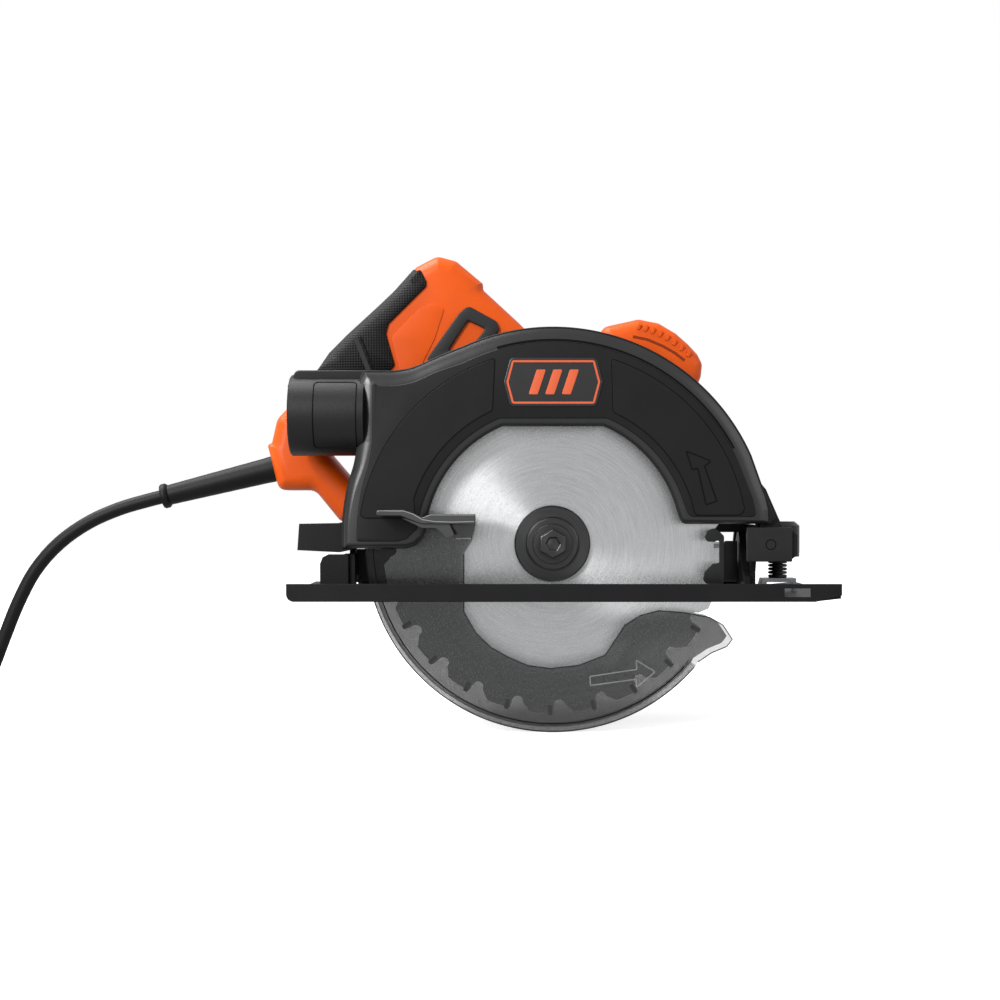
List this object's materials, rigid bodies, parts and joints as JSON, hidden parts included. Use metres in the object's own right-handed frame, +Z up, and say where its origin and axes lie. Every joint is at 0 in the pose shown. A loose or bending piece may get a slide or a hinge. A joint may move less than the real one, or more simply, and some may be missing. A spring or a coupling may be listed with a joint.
{
  "type": "circular saw",
  "caption": "Corded circular saw with upper and swinging lower blade guards, dust port, tilting depth-adjustable shoe, rear D-handle and front handle.",
  "frame": {"origin": "on the sole's lower face, under the arbor and at the middle of the shoe's width", "axes": "+X to the front of the saw along the cut, +Y to the motor side, +Z up"},
  "size_m": [0.6165, 0.188, 0.2675],
  "materials": {
    "shoe_coating": "satin black powder coat",
    "guard_black": "satin black cast guard",
    "smoked": "smoked clear polycarbonate",
    "blade_steel": "ground and brushed",
    "carbide": "sintered carbide",
    "dark_steel": "black oxide",
    "zinc": "zinc plated",
    "bearing_steel": "ground",
    "cast_alloy": "die cast",
    "laminations": "stacked laminations and varnished windings",
    "copper": "copper segments",
    "brass": "polished pins",
    "carbon": "pressed carbon",
    "orange": "satin moulded nylon",
    "black_plastic": "fine textured",
    "grip_rubber": "square grid texture",
    "badge": "printed plain badge",
    "cord_rubber": "smooth rubber"
  },
  "bodies": {
    "shoe": {"shoe_plate": "shoe_coating", "front_quadrant": "shoe_coating", "rear_pivot_bracket": "shoe_coating", "shoe_rivets": "zinc", "fence_saddle": "zinc", "fence_clamp_spring": "zinc"},
    "fence_screw": {"fence_clamp_screw": "black_plastic"},
    "carriage": {"front_yoke": "shoe_coating", "rear_yoke": "shoe_coating", "tilt_rail": "shoe_coating", "depth_bracket": "shoe_coating", "bevel_pins": "zinc", "bevel_bolt": "zinc", "depth_pivot_pin": "zinc"},
    "bevel_nut": {"bevel_knob": "black_plastic"},
    "saw_body": {"upper_guard": "guard_black", "front_badge": "badge", "gear_case": "cast_alloy", "retaining_ring": "zinc", "guard_return_spring": "zinc", "bearing_plate": "cast_alloy", "spindle_bearings": "bearing_steel", "armature_bearings": "bearing_steel", "motor_housing": "orange", "stator": "laminations", "carbon_brushes": "carbon", "brush_caps": "black_plastic", "motor_cap": "black_plastic", "housing_screws": "zinc", "handle_right": "orange", "handle_left": "orange", "handle_screws": "zinc", "grip_cover": "grip_rubber", "side_inlay": "black_plastic", "front_handle": "orange", "switch_module": "black_plastic", "strain_relief": "cord_rubber", "cord_tube": "cord_rubber", "cord_coil": "cord_rubber", "coil_tie": "cord_rubber", "mains_plug": "cord_rubber", "plug_pins": "brass", "depth_clamp_bolt": "zinc"},
    "depth_handle": {"depth_lever": "black_plastic"},
    "swing_guard": {"lower_guard": "smoked", "guard_lever": "smoked"},
    "blade_group": {"saw_blade": "blade_steel", "carbide_tips": "carbide", "outer_flange": "dark_steel", "inner_flange": "dark_steel", "arbor_bolt": "dark_steel", "spindle": "blade_steel", "spindle_gear": "blade_steel"},
    "armature": {"armature_shaft": "blade_steel", "armature_core": "laminations", "commutator": "copper", "cooling_fan": "black_plastic"},
    "trigger_lever": {"trigger": "black_plastic"},
    "lock_off": {"lock_off_button": "black_plastic"},
    "spindle_lock_pin": {"spindle_lock": "black_plastic"}
  },
  "joints": [
    {"name": "bevel_tilt", "type": "hinge", "parent": "shoe", "child": "carriage", "pos_m": [0, -0.03, 0.006], "axis": [1, 0, 0], "range_deg": [0, 45]},
    {"name": "fence_screw_turn", "type": "hinge", "parent": "shoe", "child": "fence_screw", "pos_m": [0.1291, -0.0063, 0.02], "axis": [0, 0, 1], "range_deg": [0, 720]},
    {"name": "bevel_knob_turn", "type": "hinge", "parent": "carriage", "child": "bevel_nut", "pos_m": [0.1, 0.00961, 0.01157], "axis": [1, 0, 0], "range_deg": [0, 270]},
    {"name": "depth_pivot", "type": "hinge", "parent": "carriage", "child": "saw_body", "pos_m": [0.1215, -0.0325, 0.029], "axis": [0, 1, 0], "range_deg": [0, 30]},
    {"name": "depth_lever_swing", "type": "hinge", "parent": "saw_body", "child": "depth_handle", "pos_m": [-0.0628, -0.008, 0.04512], "axis": [0, 1, 0], "range_deg": [0, 25]},
    {"name": "lower_guard_swing", "type": "hinge", "parent": "saw_body", "child": "swing_guard", "pos_m": [0, -0.03, 0.03], "axis": [0, 1, 0], "range_deg": [0, 135], "stiffness_Nm_per_rad": 0.12, "springref_deg": -51.57},
    {"name": "spindle_spin", "type": "hinge", "parent": "saw_body", "child": "blade_group", "pos_m": [0, -0.03, 0.03], "axis": [0, 1, 0], "continuous": true},
    {"name": "armature_spin", "type": "hinge", "parent": "saw_body", "child": "armature", "pos_m": [0, 0.06, 0.055], "axis": [0, 1, 0], "continuous": true},
    {"name": "trigger_pull", "type": "slide", "parent": "saw_body", "child": "trigger_lever", "axis": [-0.7143, 0, 0.6998], "range_m": [0, 0.006], "stiffness_N_per_m": 600, "springref_m": -0.003},
    {"name": "lock_off_press", "type": "slide", "parent": "saw_body", "child": "lock_off", "axis": [0, -1, 0], "range_m": [0, 0.003], "stiffness_N_per_m": 400, "springref_m": -0.002},
    {"name": "spindle_lock_press", "type": "slide", "parent": "saw_body", "child": "spindle_lock_pin", "axis": [-1, 0, 0], "range_m": [0, 0.003], "stiffness_N_per_m": 400, "springref_m": -0.002}
  ],
  "couplings": [
    {"joint": "armature_spin", "follows": "spindle_spin", "ratio": -4.5556}
  ]
}
